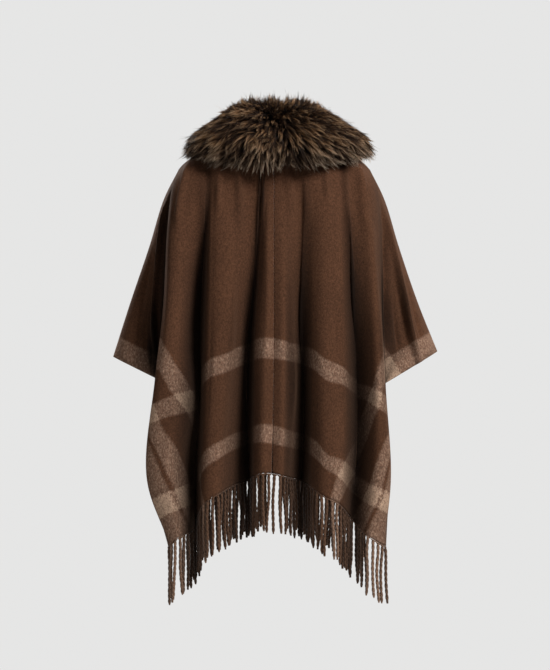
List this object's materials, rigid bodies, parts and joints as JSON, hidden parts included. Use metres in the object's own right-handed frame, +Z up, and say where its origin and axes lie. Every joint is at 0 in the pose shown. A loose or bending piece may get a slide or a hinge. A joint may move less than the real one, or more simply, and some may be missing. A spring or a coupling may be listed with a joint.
{
  "type": "cape with a fur collar and a corded fringe",
  "caption": "Open-fronted cape of brushed brown wool with light woven bands, a wide fur collar and a twisted cord fringe, in its worn form.",
  "frame": {"origin": "on the axis of the neck, at the height where the collar sits on the shoulders and the wearer holds the cape up", "axes": "+Z up, the front of the cape towards -Y, the wearer's left arm towards +X"},
  "size_m": [0.6852, 0.3324, 1.0643],
  "materials": {
    "wool": "brushed wool with a short nap and light heathered bands",
    "fringe": "two-ply twisted wool cord",
    "fur": "long clumped fur, dark at the root and pale at the tip"
  },
  "bodies": {
    "root": {"back_left": "wool", "back_right": "wool", "front_left": "wool", "front_right": "wool", "fringe_back_left": "fringe", "fringe_back_right": "fringe", "fringe_front_left": "fringe", "fringe_front_right": "fringe", "fur_collar": "fur"}
  },
  "joints": []
}
